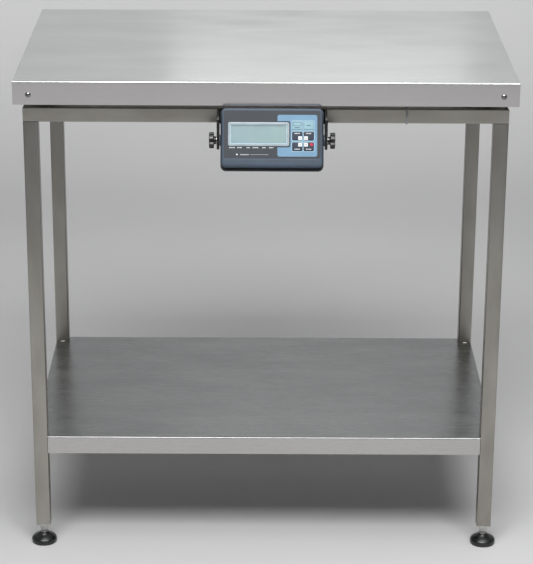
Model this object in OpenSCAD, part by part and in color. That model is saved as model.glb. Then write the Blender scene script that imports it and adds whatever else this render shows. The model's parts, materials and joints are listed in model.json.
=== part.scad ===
// Stainless steel veterinary weighing table: a welded frame with a lower shelf, a weighing platform
// on four load cells, and a tilting weight display on a bracket under the platform's front edge.
// Millimetres, +Z up, front towards -Y. The origin is on the floor, under the middle of the outline.

/* [Table] */
// Width of the weighing platform
platform_w = 1000; // [900:10:1200]
// Depth of the weighing platform
platform_d = 630; // [600:10:750]
// Height of the platform's top above the floor
total_h = 1025; // [850:5:1100]
// Height of the platform's folded skirt
skirt_h = 48; // [46:1:50]
// Thickness of the stainless sheet
sheet_t = 1.5; // [1.2:0.1:2]
// Radius of the folded edges
bend_r = 3; // [2.5:0.5:4]

/* [Frame] */
// Side of the square leg tube
leg_a = 30; // [28:1:32]
// Wall of the frame's tubes
tube_t = 1.5; // [1.2:0.1:2]
// Height of the upper rails
rail_h = 30; // [28:1:32]
// How far the frame stands in from the platform's sides
inset_x = 16; // [14:1:24]
// How far the frame stands in from the platform's front and back
inset_y = 28; // [24:1:34]
// Height of the shelf's top above the floor
shelf_z = 250; // [200:5:400]
// Height of the shelf's folded edge
shelf_edge_h = 38; // [30:1:45]
// Height of the leg's lower end above the floor
leg_z = 43; // [41:1:50]
// How far each foot screws out
foot_travel = 25; // [10:1:30]

/* [Display] */
// Width of the display's case
case_w = 200; // [190:1:220]
// Height of the display's case
case_h = 120; // [116:1:124]
// How far the case is tilted back
tilt = 24; // [16:1:25]
// Distance of the display's middle to the right of the table's middle
case_x = 12; // [-100:1:150]
// Height of the tilt axis above the floor, below the platform's top
axis_drop = 112; // [110:1:120]
// Distance of the tilt axis in front of the platform's skirt
axis_out = 24; // [22:1:40]
// Diameter of the clamp knobs
knob_d = 34; // [30:1:38]

/* [Hidden] */
$fn = 48;
e = 1;                                   // how far a cutting solid runs past what it cuts
fit = 0.05;                              // radial clearance of a screw in its thread or a pin in its hole

// Display case, measured from the tilt axis: forward of it, behind it, above it and below it
face_out = 22;
back_out = 24;
case_mid = 1;                            // the case's middle above the tilt axis
seam = 10;                               // from the axis forward to the front cover's rear edge
gasket_t = 2;                            // the gasket between the case's halves
rear_grow = 1.5;                         // how far the rear case's rim stands proud all round
rim_back = 8.5;                          // back of the rear case's rim, behind the axis
back_in_x = 18;                          // how much narrower the box behind the rim is
back_in_v = 20;                          // how much lower the box behind the rim is
back_mid = -1;                           // that box's middle above the axis
case_r = 9;                              // corner radius of the case
edge_r = 4;                              // rounding of the front cover's edge
case_t = 2.5;                            // wall of the case

// Where the display stands out furthest, which sets the origin
low_v = case_h / 2 - case_mid - edge_r;
reach = axis_out + (face_out - edge_r) * cos(tilt) + low_v * sin(tilt) + edge_r;
front_y = -(platform_d - reach) / 2;     // the platform's front skirt
mid_y = front_y + platform_d / 2;        // the middle of the table
axis_y = front_y - axis_out;
axis_z = total_h - axis_drop;

// Frame
rail_gap = 13;                           // from the skirt's lower edge down to the rails
rail_top = total_h - skirt_h - rail_gap;
rail_bot = rail_top - rail_h;
frame_x = platform_w / 2 - inset_x;      // half the frame's width
frame_y = platform_d / 2 - inset_y;      // half the frame's depth
leg_x = frame_x - leg_a / 2;
leg_y = frame_y - leg_a / 2;
tube_r = 2.5;                            // outer corner radius of the tubes
lip = 10;                                // folded return at the bottom of the skirts

// Platform frame
weigh_w = 25;                            // width of the platform's tubes
weigh_h = 40;                            // height of the platform's tubes
weigh_top = total_h - sheet_t;
weigh_bot = weigh_top - weigh_h;
plate_t = 4;                             // corner plates under the platform's frame
screw_x = leg_x;                         // the pan's screws are above the legs
screw_z = total_h - 28;
plug_t = 12;

// Load cells, one in each corner of the frame
cell_w = 25;
cell_h = 18;
cell_len = 120;
cell_x = frame_x - leg_a - 22;
cell_end = frame_y - leg_a - 5;          // the outer, loaded end
cell_z = weigh_bot - plate_t - 6.5 - cell_h;
load_y = cell_end - 12;                  // the load point
cell_bolt_1 = cell_end - cell_len + 12;
cell_bolt_2 = cell_end - cell_len + 32;
bracket_t = 5;
spacer_t = 3;
m6 = 3;                                  // radius of an M6 screw
m8 = 4;                                  // radius of an M8 screw
m10 = 5;                                 // radius of an M10 screw

// Feet
insert_h = 20;                           // length of the tapped plug in each leg
cap_t = 2;                               // the plug's cap, which closes the leg's end
stem_gap = 0.3;                          // from the leg down to the foot's hexagon
hex_h = 7;
neck_r = 6.5;
pad_h = 28;

// Junction box, on the inner side of the right rail
box_l = 120;
box_w = 38;
box_h = 36;
box_x = frame_x - leg_a - box_w;         // its inner side
box_z = rail_bot + 2;
box_t = 3;                               // its wall
lid_t = 4;
gland_len = 14;
gland_hex = 6;                           // length of a gland's hexagon
gland_thread = 5;                        // length of the thread behind it
gland_r = 6.5;

// Display front, in the face's own measures: right of the middle, and up from the tilt axis
case_top = case_h / 2 + case_mid;
overlay_t = 0.6;
lcd_w = 112;
lcd_h = 39;
lcd_x = -26.5;                           // middle of the display glass
lcd_v = case_top - 51.5;
key_w = 19.5;
key_h = 16.5;
key_xs = [49.3, 71.9];                   // middles of the two columns of keys
key_vs = [case_top - 34, case_top - 55, case_top - 76];
key_gap = 0.3;
key_proud = 0.9;
key_travel = 0.6;
strip_h = 20;                            // the plain strip below the overlay
board_y = -9;                            // front of the circuit board
board_t = 1.6;
post_x = case_w / 2 - 20;                // screws and posts that hold the case together
post_v = case_h / 2 - 22;
post_r = 4;

// Display bracket
arm_t = 5;
arm_in = case_w / 2 + 4;                 // inner face of each arm
arm_r = 18;                              // round lower end of each arm
web_t = 3;
web_h = 30;
web_y = front_y + inset_y;               // the front face of the front rail
bolt_x = 45;                             // the bracket's bolts, either side of its middle
bolt_z = rail_bot + rail_h / 2 - 1;      // their height, which is the middle of the bracket's web
knob_in = arm_in + arm_t + 1.2;          // where the knob's hub begins, past its washer
knob_r = knob_d / 2;

// Leads, in the table's frame: x, y from the table's middle, z. Round numbers chosen by hand.
lead_d = 5;
cell_lead_d = 4;
lead_sides = 8;

// ---------------------------------------------------------------- helpers

// A rectangle with round corners, centred
module rrect(w, h, r) {
    square([w - 2 * r, h], center = true);
    square([w, h - 2 * r], center = true);
    for (x = [-1, 1], y = [-1, 1]) {
        translate([x * (w / 2 - r), y * (h / 2 - r)]) circle(r);
    }
}

// A hollow tube's section
module tube_section(w, h) {
    difference() {
        rrect(w, h, tube_r);
        rrect(w - 2 * tube_t, h - 2 * tube_t, tube_r - tube_t);
    }
}

// Extrudes a section drawn in Y and Z along +X
module along_x(len) {
    rotate([90, 0, 90]) linear_extrude(len) children();
}

// Extrudes a section drawn in X and Z along +Y
module along_y(len) {
    translate([0, len, 0]) rotate([90, 0, 0]) linear_extrude(len) children();
}

// Puts a child in the four corners, mirrored about the table's middle
module four_corners() {
    translate([0, mid_y, 0]) for (x = [0, 1], y = [0, 1]) {
        mirror([x, 0, 0]) mirror([0, y, 0]) children();
    }
}

// Moves the display's own frame to its place: origin on the tilt axis, face towards -Y
module at_axis() {
    translate([case_x, axis_y, axis_z]) children();
}
module on_display() {
    at_axis() rotate([-tilt, 0, 0]) children();
}

// A plate with round corners, parallel to the display's face, from y0 back to y1
module face_plate(x, v, w, h, r, y0, y1) {
    translate([x, y0, v]) along_y(y1 - y0) rrect(w, h, r);
}

function unit(v) = v / norm(v);

// A point on the smooth curve through the route p, at step t of segment i
function route_point(p, i, t) =
    let (n = len(p) - 1,
         a = p[max(i - 1, 0)], b = p[i], c = p[min(i + 1, n)], d = p[min(i + 2, n)])
    0.5 * (2 * b + (c - a) * t + (2 * a - 5 * b + 4 * c - d) * t * t
        + (3 * b - a - 3 * c + d) * t * t * t);

function smooth_route(p, k) = concat(
    [for (i = [0 : len(p) - 2], j = [0 : k - 1]) route_point(p, i, j / k)],
    [p[len(p) - 1]]);

// Directions along the route, and one side direction carried along without twisting
function route_dir(q, i) = unit(q[min(i + 1, len(q) - 1)] - q[max(i - 1, 0)]);
function turned(side, d) = unit(side - d * (side * d));
function sides(q, i, s) = i == 0 ? [turned(s, route_dir(q, 0))]
    : let (before = sides(q, i - 1, s)) concat(before, [turned(before[i - 1], route_dir(q, i))]);

// A lead: one tube swept along a route's points, k rings to each stretch
module lead(route, d, k, side) {
    q = smooth_route(route, k);
    n = len(q);
    s = sides(q, n - 1, side);
    points = [for (i = [0 : n - 1], j = [0 : lead_sides - 1])
        let (a = 360 * j / lead_sides, dir = route_dir(q, i))
        q[i] + d / 2 * (cos(a) * s[i] + sin(a) * cross(dir, s[i]))];
    skin = [for (i = [0 : n - 2], j = [0 : lead_sides - 1])
        let (j2 = (j + 1) % lead_sides)
        [i * lead_sides + j, i * lead_sides + j2, (i + 1) * lead_sides + j2, (i + 1) * lead_sides + j]];
    first_cap = [for (j = [lead_sides - 1 : -1 : 0]) j];
    last_cap = [for (j = [0 : lead_sides - 1]) (n - 1) * lead_sides + j];
    triangles = [for (f = skin, t = [0, 1]) t == 0 ? [f[0], f[2], f[1]] : [f[0], f[3], f[2]]];
    caps = [for (c = [first_cap, last_cap], t = [1 : lead_sides - 2]) [c[0], c[t + 1], c[t]]];
    polyhedron(points, concat(triangles, caps));
}

// ---------------------------------------------------------------- welded frame

module leg(x, y) {
    color("#8f8c86") translate([x, mid_y + y, leg_z + cap_t])
        linear_extrude(rail_bot - leg_z - cap_t) tube_section(leg_a, leg_a);
}

// Outline that mitres the front and rear rails' ends
module mitre_end(side) {
    mirror([0, side, 0]) translate([0, 0, rail_bot - e]) linear_extrude(rail_h + 2 * e)
        polygon([[-frame_x, frame_y], [frame_x, frame_y],
            [frame_x - leg_a, frame_y - leg_a], [leg_a - frame_x, frame_y - leg_a]]);
}

module rail_long(side) {
    color("#8f8c86") translate([0, mid_y, 0]) intersection() {
        translate([-frame_x, (1 - 2 * side) * leg_y, rail_bot + rail_h / 2])
            along_x(2 * frame_x) tube_section(leg_a, rail_h);
        mitre_end(side);
    }
}

// The front rail has two tapped holes in its front wall, for the display's bracket
module rail_front() {
    color("#8f8c86") difference() {
        rail_long(1);
        for (x = [-1, 1]) {
            translate([case_x + x * bolt_x, web_y - e, bolt_z])
                along_y(tube_t + 2 * e) circle(m6 + fit);
        }
    }
}

module side_rails() {
    color("#8f8c86") translate([0, mid_y, 0]) for (s = [0, 1]) mirror([s, 0, 0]) difference() {
        translate([leg_x, -frame_y, rail_bot + rail_h / 2])
            along_y(2 * frame_y) tube_section(leg_a, rail_h);
        for (end = [0, 1]) mitre_end(end);
    }
}

// Plugs in the legs' lower ends, tapped for the feet
module leg_inserts() {
    plug = leg_a - 2 * tube_t - 0.2;
    color("#a9abad") four_corners() translate([leg_x, leg_y, leg_z]) difference() {
        union() {
            linear_extrude(cap_t) rrect(leg_a, leg_a, tube_r);
            linear_extrude(insert_h) rrect(plug, plug, 1);
        }
        translate([0, 0, -e]) cylinder(r = m10 + fit, h = insert_h + 2 * e);
    }
}

// A pan folded from one sheet, top down: its outer size, its height and whether it has a return
module folded_pan(w, d, h, top) {
    module shell(w, d, h, r, z) {
        intersection() {
            translate([-w / 2, 0, z]) along_x(w) top_round(d, h, r);
            translate([0, -d / 2, z]) along_y(d) top_round(w, h, r);
        }
    }
    module top_round(w, h, r) {
        translate([-w / 2, -h]) square([w, h - r]);
        translate([r - w / 2, -r - e]) square([w - 2 * r, r + e]);
        for (x = [-1, 1]) translate([x * (w / 2 - r), -r]) circle(r);
    }
    difference() {
        shell(w, d, h, bend_r, top);
        shell(w - 2 * sheet_t, d - 2 * sheet_t, h - 2 * sheet_t, bend_r - sheet_t, top - sheet_t);
        translate([0, 0, top - h - e])
            linear_extrude(h / 2) square([w - 2 * lip, d - 2 * lip], center = true);
    }
}

module shelf_pan() {
    color("#7d7f80") translate([0, mid_y, 0]) difference() {
        folded_pan(2 * frame_x, 2 * frame_y, shelf_edge_h, shelf_z);
        for (x = [-1, 1], y = [-1, 1]) {
            translate([x * frame_x, y * frame_y, shelf_z - shelf_edge_h / 2])
                cube([2 * leg_a, 2 * leg_a, shelf_edge_h + 2 * e], center = true);
        }
    }
}

// Two top-hat channels that stiffen the shelf from below
module shelf_stiffeners() {
    hat_w = 60;
    hat_h = 22;
    foot_w = 15;
    len = 2 * (frame_x - bend_r) - 1;
    color("#8a8c8d") translate([-len / 2, mid_y, shelf_z - sheet_t]) for (y = [-1, 1]) {
        translate([0, y * frame_y / 2, 0]) along_x(len) {
            for (s = [-1, 1]) {
                translate([s * (hat_w / 2 + foot_w / 2 - sheet_t), -sheet_t / 2])
                    square([foot_w, sheet_t], center = true);
                translate([s * (hat_w / 2 - sheet_t / 2), -hat_h / 2])
                    square([sheet_t, hat_h], center = true);
            }
            translate([0, -hat_h + sheet_t / 2]) square([hat_w, sheet_t], center = true);
        }
    }
}

// Plates welded inside the frame's side rails, with a raised seat for each load cell
module cell_brackets() {
    seat_y = cell_end - cell_len;
    seat_l = 44;
    plate_w = frame_x - leg_a - (cell_x - cell_w / 2 - 6);
    color("#8a8c8d") four_corners() difference() {
        union() {
            translate([frame_x - leg_a - plate_w, seat_y - 6, cell_z - spacer_t - bracket_t])
                cube([plate_w, seat_l + 12, bracket_t]);
            translate([cell_x - cell_w / 2, seat_y, cell_z - spacer_t])
                cube([cell_w, seat_l, spacer_t]);
        }
        for (y = [cell_bolt_1, cell_bolt_2]) {
            translate([cell_x, y, cell_z - spacer_t - bracket_t - e])
                cylinder(r = m6 + 0.3, h = spacer_t + bracket_t + 2 * e);
        }
    }
}

// Bending-beam load cells: two bolt holes at the fixed end, a tapped hole at the loaded end
module load_cells() {
    flex = 9;                            // from the middle of the bending part to each cross hole
    flex_r = 6;
    slot_h = 5;
    color("#b4b6b8") four_corners() difference() {
        translate([cell_x - cell_w / 2, cell_end - cell_len, cell_z]) cube([cell_w, cell_len, cell_h]);
        for (y = [cell_bolt_1, cell_bolt_2]) {
            translate([cell_x, y, cell_z - e]) cylinder(r = m6 + fit, h = cell_h + 2 * e);
        }
        translate([cell_x, load_y, cell_z - e]) cylinder(r = m8 + fit, h = cell_h + 2 * e);
        translate([cell_x, cell_end - cell_len * 0.42, cell_z + cell_h / 2]) {
            for (y = [-1, 1]) translate([0, y * flex, 0]) {
                rotate([0, 90, 0]) cylinder(r = flex_r, h = cell_w + 2 * e, center = true);
            }
            cube([cell_w + 2 * e, 2 * flex, slot_h], center = true);
        }
    }
}

// A hexagon screw pointing up, its head's upper face at z 0
module hex_screw(r, len) {
    translate([0, 0, -r * 1.3]) cylinder(r = r * 1.9, h = r * 1.3, $fn = 6);
    cylinder(r = r, h = len);
}

// Eight screws that hold the load cells, and two that hold the display's bracket to the front rail
module frame_bolts() {
    color("#b9bbbd") {
        four_corners() for (y = [cell_bolt_1, cell_bolt_2]) {
            translate([cell_x, y, cell_z - spacer_t - bracket_t])
                hex_screw(m6, spacer_t + bracket_t + 14);
        }
        for (x = [-1, 1]) {
            translate([case_x + x * bolt_x, web_y - web_t, bolt_z])
                rotate([-90, 0, 0]) hex_screw(m6, web_t + tube_t + 4);
        }
    }
}

// ---------------------------------------------------------------- wiring

module junction_box() {
    color("#c9cbcc") translate([box_x, mid_y - box_l / 2, box_z]) difference() {
        cube([box_w, box_l, box_h - lid_t]);
        translate([box_t, box_t, box_t]) cube([box_w - 2 * box_t, box_l - 2 * box_t, box_h]);
        for (end = [0, 1], g = gland_places(end)) {
            translate([g[0] - box_x, end == 0 ? -e : box_l - box_t - e, g[1] - box_z])
                along_y(box_t + 2 * e) circle(4.2);
        }
    }
}

module junction_lid() {
    color("#c1c4c6") translate([box_x, mid_y - box_l / 2, box_z + box_h - lid_t]) difference() {
        cube([box_w, box_l, lid_t]);
        translate([box_t, box_t, -e]) cube([box_w - 2 * box_t, box_l - 2 * box_t, e + 1.5]);
    }
}

// Where the leads enter the box: x and z of each gland at its front (0) and its rear end (1)
function gland_places(end) = end == 0
    ? [[box_x + 8, box_z + 8], [box_x + 30, box_z + 8], [box_x + 19, box_z + 25]]
    : [[box_x + 30, box_z + 8], [box_x + 19, box_z + 25]];
function gland_bore(end, i) = end == 0 && i == 0 ? lead_d / 2 : cell_lead_d / 2;

// A cable gland pointing to -Y from y 0, with its thread behind
module gland(bore) {
    difference() {
        union() {
            translate([0, -gland_hex, 0]) along_y(gland_hex) circle(gland_r, $fn = 6);
            translate([0, -gland_len, 0]) along_y(gland_len - gland_hex) circle(gland_r - 1.2);
            along_y(gland_thread) circle(4);
        }
        translate([0, -gland_len - e, 0])
            along_y(gland_len + gland_thread + 2 * e) circle(bore + 0.1);
    }
}

module junction_glands() {
    color("#2b2d2f") for (end = [0, 1]) {
        places = gland_places(end);
        for (i = [0 : len(places) - 1]) {
            translate([places[i][0], mid_y + (end == 0 ? -1 : 1) * box_l / 2, places[i][1]])
                mirror([0, end, 0]) gland(gland_bore(end, i));
        }
    }
}

// Lead routes, from the table's middle. Each follows the inner faces of the rails.
lead_off = 3.6;                          // from a rail's face to the middle of a lead beside it
side_in = frame_x - leg_a - lead_off;
long_in = frame_y - leg_a - lead_off;
box_end = box_l / 2 + gland_len;
cell_out = cell_end - cell_len;
low_z = rail_bot + 10.5;                 // height of the long cell leads
display_z = rail_bot + 4.5;              // height of the display's lead

route_near = [[cell_x, cell_out, cell_z + 9], [cell_x, cell_out - 12, cell_z + 9],
    [cell_x + 2, box_end + 10, box_z + 25], [box_x + 19, box_end, box_z + 25]];
route_far = [[-cell_x, cell_out, cell_z + 9], [-cell_x, cell_out - 14, cell_z + 8],
    [-cell_x - 8, cell_out - 26, cell_z + 2], [-side_in, cell_out - 16, low_z + 1],
    [-side_in, cell_out + 10, low_z], [-side_in, long_in - 30, low_z], [-side_in, long_in - 12, low_z],
    [-side_in + 12, long_in, low_z], [-side_in + 40, long_in, low_z], [-200, long_in, low_z],
    [0, long_in, low_z], [200, long_in, low_z], [side_in - 40, long_in, low_z],
    [side_in - 12, long_in, low_z], [side_in, long_in - 12, low_z], [side_in, long_in - 40, low_z],
    [side_in, cell_out, low_z], [side_in - 3, box_end + 16, box_z + 8], [box_x + 30, box_end, box_z + 8]];
route_display = [[case_x + 40, long_in, display_z], [200, long_in, display_z],
    [300, long_in, display_z], [side_in - 40, long_in, display_z], [side_in - 14, long_in, display_z],
    [side_in, long_in - 14, display_z], [side_in, long_in - 40, display_z],
    [side_in, cell_out, display_z], [side_in - 8, cell_out - 16, display_z + 1],
    [box_x + 12, box_end + 16, box_z + 7], [box_x + 8, box_end, box_z + 8]];

module front_route() {
    translate([0, mid_y, 0]) mirror([0, 1, 0]) children();
}

module cell_leads() {
    color("#232527") {
        front_route() {
            lead(route_near, cell_lead_d, 4, [0, 0, 1]);
            lead(route_far, cell_lead_d, 3, [0, 0, 1]);
        }
        translate([0, mid_y, 0]) {
            lead(route_near, cell_lead_d, 4, [0, 0, 1]);
            lead(route_far, cell_lead_d, 3, [0, 0, 1]);
        }
    }
}

module display_lead() {
    color("#232527") front_route() lead(route_display, lead_d, 4, [0, 0, 1]);
}

// The free loop from the display's gland, under the front rail and up behind it
gland_v = -20;                           // the display's gland and inlet, below the tilt axis
socket_x = -45;                          // the charger inlet, left of the middle
gland_tip = back_out + gland_len;
loop_y = axis_y + gland_tip * cos(tilt) + gland_v * sin(tilt);
loop_z = axis_z - gland_tip * sin(tilt) + gland_v * cos(tilt);
loop_back = mid_y - long_in;
route_loop = [[case_x, loop_y, loop_z], [case_x, loop_y + 7, loop_z - 3],
    [case_x + 1, loop_y + 20, loop_z - 3], [case_x + 3, loop_y + 38, loop_z + 8],
    [case_x + 6, loop_back - 9, loop_z + 28], [case_x + 11, loop_back - 1, display_z - 16],
    [case_x + 20, loop_back, display_z - 5], [case_x + 30, loop_back, display_z],
    [case_x + 40, loop_back, display_z]];

module lead_loop() {
    color("#232527") lead(route_loop, lead_d, 3, [1, 0, 0]);
}

// The tie that holds the leads to the front rail, with its head behind
module cable_tie() {
    tie_w = 4.8;
    tie_t = 1.2;
    tie_x = 280;
    hold = 6.5;                          // room for the leads behind the rail
    color("#8d8f90") translate([tie_x - tie_w / 2, web_y, rail_bot]) {
        along_x(tie_w) difference() {
            translate([-tie_t, -tie_t]) square([leg_a + hold + 2 * tie_t, rail_h + 2 * tie_t]);
            square([leg_a + hold, rail_h]);
        }
        translate([-1, leg_a + hold + tie_t, rail_h * 0.6]) cube([tie_w + 2, 4, 6]);
    }
}

// ---------------------------------------------------------------- display bracket

// One arm's outline in Y and Z, from the tilt axis: a wide root on the rail and a round lower end
module arm_outline() {
    root_y = web_y - axis_y;
    root_z = bolt_z - axis_z;
    difference() {
        union() {
            circle(arm_r);
            translate([-arm_r, 0]) square([arm_r, root_z + web_h / 2 - 6]);
            translate([-arm_r + 6, root_z + web_h / 2 - 7]) square([root_y + arm_r - 6, 7]);
            translate([-arm_r + 6, root_z + web_h / 2 - 6]) circle(6);
            polygon([[0, -arm_r], [root_y, root_z - web_h / 2], [root_y, root_z + web_h / 2 - 1],
                [-arm_r + 6, root_z + web_h / 2 - 1], [-arm_r + 6, 0]]);
        }
        circle(m6 + 0.3);
    }
}

module display_bracket() {
    color("#1d1e1f") difference() {
        union() {
            at_axis() for (s = [0, 1]) mirror([s, 0, 0]) {
                translate([arm_in, 0, 0]) along_x(arm_t) arm_outline();
            }
            translate([case_x - arm_in - 0.5, web_y - web_t, bolt_z - web_h / 2])
                cube([2 * arm_in + 1, web_t, web_h]);
        }
        for (x = [-1, 1]) {
            translate([case_x + x * bolt_x, web_y - web_t - e, bolt_z])
                along_y(web_t + 2 * e) circle(m6 + 0.3);
        }
    }
}

// ---------------------------------------------------------------- weighing platform

module weighing_pan() {
    color("#b9bdbb") translate([0, mid_y, 0]) difference() {
        folded_pan(platform_w, platform_d, skirt_h, total_h);
        for (x = [-1, 1]) {
            translate([x * screw_x, -platform_d / 2 - e, screw_z])
                along_y(platform_d + 2 * e) circle(m6 + 0.3);
        }
    }
}

module weigh_side_tubes() {
    len = platform_d - 2 * bend_r;
    color("#9c9fa0") for (x = [-1, 1]) {
        translate([x * leg_x, mid_y - len / 2, weigh_bot + weigh_h / 2])
            along_y(len) tube_section(weigh_w, weigh_h);
    }
}

module weigh_cross_tubes() {
    len = 2 * leg_x - weigh_w;
    color("#9c9fa0") for (y = [-1, 0, 1]) {
        translate([-len / 2, mid_y + y * (frame_y - leg_a / 2), weigh_bot + weigh_h / 2])
            along_x(len) tube_section(weigh_w, weigh_h);
    }
}

// Plates under the platform frame's corners, which rest on the load feet
module corner_plates() {
    in_x = cell_x - 18;
    in_y = load_y - 20;
    color("#9c9fa0") four_corners() translate([in_x, in_y, weigh_bot - plate_t])
        cube([leg_x + weigh_w / 2 - in_x, leg_y + weigh_w / 2 - in_y, plate_t]);
}

// Tapped plugs in the ends of the platform's side tubes, for the pan's screws
module end_plugs() {
    w = weigh_w - 2 * tube_t - 0.2;
    h = weigh_h - 2 * tube_t - 0.2;
    color("#a9abad") four_corners() {
        translate([leg_x, platform_d / 2 - sheet_t - plug_t, weigh_bot + weigh_h / 2]) difference() {
            along_y(plug_t) rrect(w, h, 1);
            translate([0, -e, screw_z - weigh_bot - weigh_h / 2])
                along_y(plug_t + 2 * e) circle(m6 + fit);
        }
    }
}

// Button-head screws through the skirt's ends, front and back
module pan_screws() {
    head_r = 5.7;
    head_h = 3;
    dome_r = (head_r * head_r + head_h * head_h) / (2 * head_h);
    color("#c3c5c7") four_corners() translate([screw_x, platform_d / 2, screw_z]) difference() {
        union() {
            translate([0, -sheet_t - 9, 0]) along_y(9 + sheet_t) circle(m6);
            intersection() {
                along_y(head_h) circle(head_r);
                translate([0, head_h - dome_r, 0]) sphere(dome_r);
            }
        }
        translate([0, head_h - 2, 0]) along_y(2 + e) circle(2.2, $fn = 6);
    }
}

// Screws in the load cells' free ends, whose round tops carry the platform
module load_feet() {
    dome_r = 40;
    top_z = weigh_bot - plate_t;
    color("#c3c5c7") four_corners() translate([cell_x, load_y, 0]) {
        translate([0, 0, cell_z + 3]) cylinder(r = m8, h = top_z - 4 - cell_z - 3);
        intersection() {
            translate([0, 0, top_z - 4]) cylinder(r = 9, h = 4);
            translate([0, 0, top_z - dome_r]) sphere(dome_r, $fn = 96);
        }
    }
}

// ---------------------------------------------------------------- display case

// One slice of the case's outline, grown by g, at depth y, 0.01 thick
module case_slice(y, g, h_less) {
    face_plate(0, case_mid, case_w + 2 * g, case_h + 2 * g - h_less, case_r + g, y, y + 0.01);
}

// The front cover's outside: straight sides and a rounded front edge
module cover_outside() {
    steps = 4;
    hull() {
        case_slice(-seam - 0.01, 0, 0);
        for (i = [0 : steps]) {
            a = 90 * i / steps;
            case_slice(-face_out + edge_r * (1 - cos(a)), -edge_r * (1 - sin(a)), 0);
        }
    }
}

module keypad_holes(grow, y0, y1) {
    for (x = key_xs, v = key_vs) {
        face_plate(x, v, key_w + 2 * grow, key_h + 2 * grow, 2 + grow, y0, y1);
    }
}

module lcd_opening(grow, y0, y1) {
    face_plate(lcd_x, lcd_v, lcd_w + 2 * grow, lcd_h + 2 * grow, 1.5, y0, y1);
}

// Printed overlay's outline: everything but the plain strip at the bottom
module overlay_plate(grow, y0, y1) {
    w = case_w - 10;
    h = case_h - strip_h - 6;
    face_plate(0, case_top - 5 - h / 2, w + 2 * grow, h + 2 * grow, 4, y0, y1);
}

// Puts a child at each of the case's four screws
module at_posts() {
    for (x = [-1, 1], v = [-1, 1]) translate([x * post_x, 0, case_mid + v * post_v]) children();
}

module front_cover() {
    color("#5a697d") on_display() difference() {
        union() {
            difference() {
                cover_outside();
                face_plate(0, case_mid, case_w - 2 * case_t, case_h - 2 * case_t, case_r - case_t,
                    -face_out + case_t, 0);
            }
            at_posts() translate([0, -face_out + case_t - 0.5, 0])
                along_y(board_y + face_out - case_t + 0.5) circle(post_r);
        }
        at_posts() translate([0, -15, 0]) along_y(15) circle(1.5 + fit);
        overlay_plate(0.1, -face_out - e, -face_out + overlay_t);
        lcd_opening(0, -face_out - e, -face_out + case_t + e);
        keypad_holes(key_gap, -face_out - e, -face_out + case_t + e);
    }
}

// The printed film on the cover, open over the display glass and round each key
module front_overlay() {
    color("#46505a") on_display() difference() {
        overlay_plate(0, -face_out, -face_out + overlay_t);
        lcd_opening(4.1, -face_out - e, -face_out + e);
        keypad_holes(key_gap, -face_out - e, -face_out + e);
    }
}

module case_gasket() {
    y0 = -seam;
    y1 = -seam + gasket_t;
    color("#15181b") on_display() difference() {
        face_plate(0, case_mid, case_w - 1, case_h - 1, case_r, y0, y1);
        face_plate(0, case_mid, case_w - 4 * case_t, case_h - 4 * case_t, 4, y0 - e, y1 + e);
    }
}

// The rear case's form, shrunk by t: a proud rim, and a smaller box behind it
module rear_form(t, y0, y1) {
    rim = 2 * (rear_grow - t);
    face_plate(0, case_mid, case_w + rim, case_h + rim, case_r + rear_grow - t, y0, rim_back - t);
    face_plate(0, back_mid, case_w - back_in_x - 2 * t, case_h - back_in_v - 2 * t, 9 - t,
        rim_back - t - 0.5, y1);
}

module rear_case() {
    rim_y = -seam + gasket_t;
    boss_r = 7.5;
    boss_l = 12;
    color("#2c333b") on_display() difference() {
        union() {
            difference() {
                rear_form(0, rim_y, back_out);
                rear_form(case_t, rim_y - e, back_out - case_t);
            }
            for (s = [0, 1]) mirror([s, 0, 0]) {
                translate([case_w / 2 - boss_l, 0, 0]) along_x(boss_l + 0.8) circle(boss_r);
            }
            at_posts() translate([0, board_y + board_t + 0.1, 0])
                along_y(back_out - case_t - board_y - board_t + 0.4) circle(post_r);
        }
        for (s = [0, 1]) mirror([s, 0, 0]) {
            translate([case_w / 2 - boss_l - e, 0, 0]) along_x(boss_l + 4) circle(5);
        }
        at_posts() translate([0, board_y, 0]) along_y(back_out - board_y + e) circle(1.7);
        translate([0, back_out - case_t - e, gland_v]) along_y(case_t + 2 * e) circle(4.1);
        translate([socket_x, back_out - case_t - e, gland_v]) along_y(case_t + 2 * e) circle(4.6);
    }
}

module lcd_bezel() {
    color("#dfe3e4") on_display() difference() {
        face_plate(lcd_x, lcd_v, lcd_w + 8, lcd_h + 8, 3.5, -face_out - 0.8, -face_out + overlay_t);
        lcd_opening(0, -face_out - e, -face_out + e);
    }
}

module lcd_window() {
    color("#9fc0c6", 0.4) on_display()
        face_plate(lcd_x, lcd_v, lcd_w - 0.2, lcd_h - 0.2, 1.4, -face_out + 0.4, -face_out + 2);
}

module lcd_module() {
    color("#9bbcc2") on_display()
        face_plate(lcd_x, lcd_v, lcd_w + 6, lcd_h + 6, 1, -face_out + case_t, board_y - 2);
}

module main_board() {
    color("#2f6b45") on_display() difference() {
        face_plate(0, case_mid, case_w - 24, case_h - 20, 2, board_y, board_y + board_t);
        at_posts() translate([0, board_y - e, 0]) along_y(board_t + 2 * e) circle(1.7);
    }
}

module battery() {
    color("#3a3d40") on_display()
        face_plate(20, 18, 70, 46, 1.5, 1, back_out - case_t - 1);
}

// Screws that hold the case's halves together, from behind
module case_screws() {
    color("#b4b6b8") on_display() at_posts() {
        translate([0, back_out, 0]) along_y(1.6) circle(3);
        translate([0, -14, 0]) along_y(back_out + 14) circle(1.5);
    }
}

// Threaded bushes in the case's sides, for the clamp knobs
module pivot_inserts() {
    color("#b08d57") on_display() for (s = [0, 1]) mirror([s, 0, 0]) {
        translate([case_w / 2 + rear_grow - 12, 0, 0]) along_x(12) difference() {
            circle(4.95);
            circle(m6 + fit);
        }
    }
}

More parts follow.
